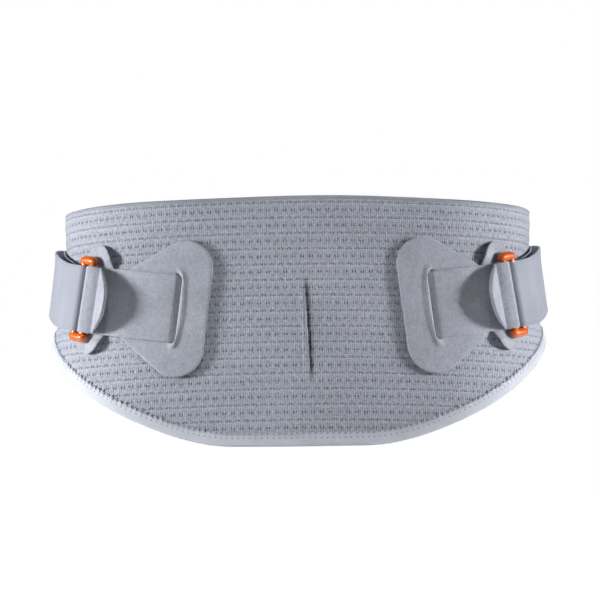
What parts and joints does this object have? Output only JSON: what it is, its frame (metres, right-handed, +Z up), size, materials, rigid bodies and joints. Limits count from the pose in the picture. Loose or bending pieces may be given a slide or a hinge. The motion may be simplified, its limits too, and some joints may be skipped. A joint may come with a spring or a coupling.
{
  "type": "lumbar support belt",
  "caption": "Knitted lumbar support belt closed in a ring, with front wings that overlap, and side straps tightened through plastic rings by velour grab pads.",
  "frame": {"origin": "middle of the waist the belt goes round, level with the middle of the back panel's height", "axes": "+Z up the wearer's back, +Y out through the wearer's front, +X to the wearer's right"},
  "size_m": [0.3792, 0.2798, 0.176],
  "materials": {
    "knit": "matte open knit",
    "lining": "brushed loop",
    "binding": "soft tape",
    "hem": "matte knit",
    "elastic": "smooth woven elastic",
    "velour": "short pile",
    "hook": "fine hooks",
    "pad_cover": "brushed loop over foam",
    "ring": "glossy orange"
  },
  "bodies": {
    "back": {"back_panel": "knit", "back_lining": "lining", "back_bottom_binding": "binding", "back_top_binding": "hem", "centre_seam": "knit", "left_guard_patch": "velour", "right_guard_patch": "velour", "left_sacral_pad": "pad_cover", "right_sacral_pad": "pad_cover", "left_sacral_pad_hook": "hook", "right_sacral_pad_hook": "hook", "left_elastic_strap": "elastic", "right_elastic_strap": "elastic"},
    "right_wing": {"right_wing_panel": "knit", "right_wing_lining": "lining", "right_wing_bottom_binding": "binding", "right_wing_top_binding": "hem", "right_closure_hook_patch": "hook", "right_closure_pull_loop": "elastic", "right_strap_front": "elastic", "right_strap_end_tab": "velour"},
    "left_wing": {"left_wing_panel": "knit", "left_wing_lining": "lining", "left_wing_bottom_binding": "binding", "left_wing_top_binding": "hem", "left_closure_loop_patch": "velour", "left_strap_front": "elastic", "left_strap_end_tab": "velour"},
    "right_ring": {"right_ring": "ring"},
    "left_ring": {"left_ring": "ring"},
    "right_pad": {"right_pad_strap": "velour", "right_grab_pad": "velour", "right_grab_pad_hook": "hook"},
    "left_pad": {"left_pad_strap": "velour", "left_grab_pad": "velour", "left_grab_pad_hook": "hook"}
  },
  "joints": [
    {"name": "outer_wing_opening", "type": "hinge", "parent": "back", "child": "right_wing", "pos_m": [0.1905, 0, 0], "axis": [0.1093, 0, -0.994], "range_deg": [0, 80]},
    {"name": "inner_wing_opening", "type": "hinge", "parent": "back", "child": "left_wing", "pos_m": [-0.1905, 0, 0], "axis": [0.1093, 0, 0.994], "range_deg": [0, 32]},
    {"name": "right_ring_tilt", "type": "hinge", "parent": "back", "child": "right_ring", "pos_m": [0.15856, -0.07964, 0.01584], "axis": [-0.1581, 0.0187, 0.9872], "range_deg": [0, 35]},
    {"name": "left_ring_tilt", "type": "hinge", "parent": "back", "child": "left_ring", "pos_m": [-0.15856, -0.07964, 0.01584], "axis": [-0.1581, -0.0187, -0.9872], "range_deg": [0, 35]},
    {"name": "right_pad_peel", "type": "hinge", "parent": "right_ring", "child": "right_pad", "pos_m": [0.1522, -0.08596, 0.01494], "axis": [-0.1581, 0.0187, 0.9872], "range_deg": [0, 85]},
    {"name": "left_pad_peel", "type": "hinge", "parent": "left_ring", "child": "left_pad", "pos_m": [-0.1522, -0.08596, 0.01494], "axis": [-0.1581, -0.0187, -0.9872], "range_deg": [0, 85]}
  ],
  "couplings": [
    {"joint": "inner_wing_opening", "follows": "outer_wing_opening", "ratio": 0.4}
  ]
}
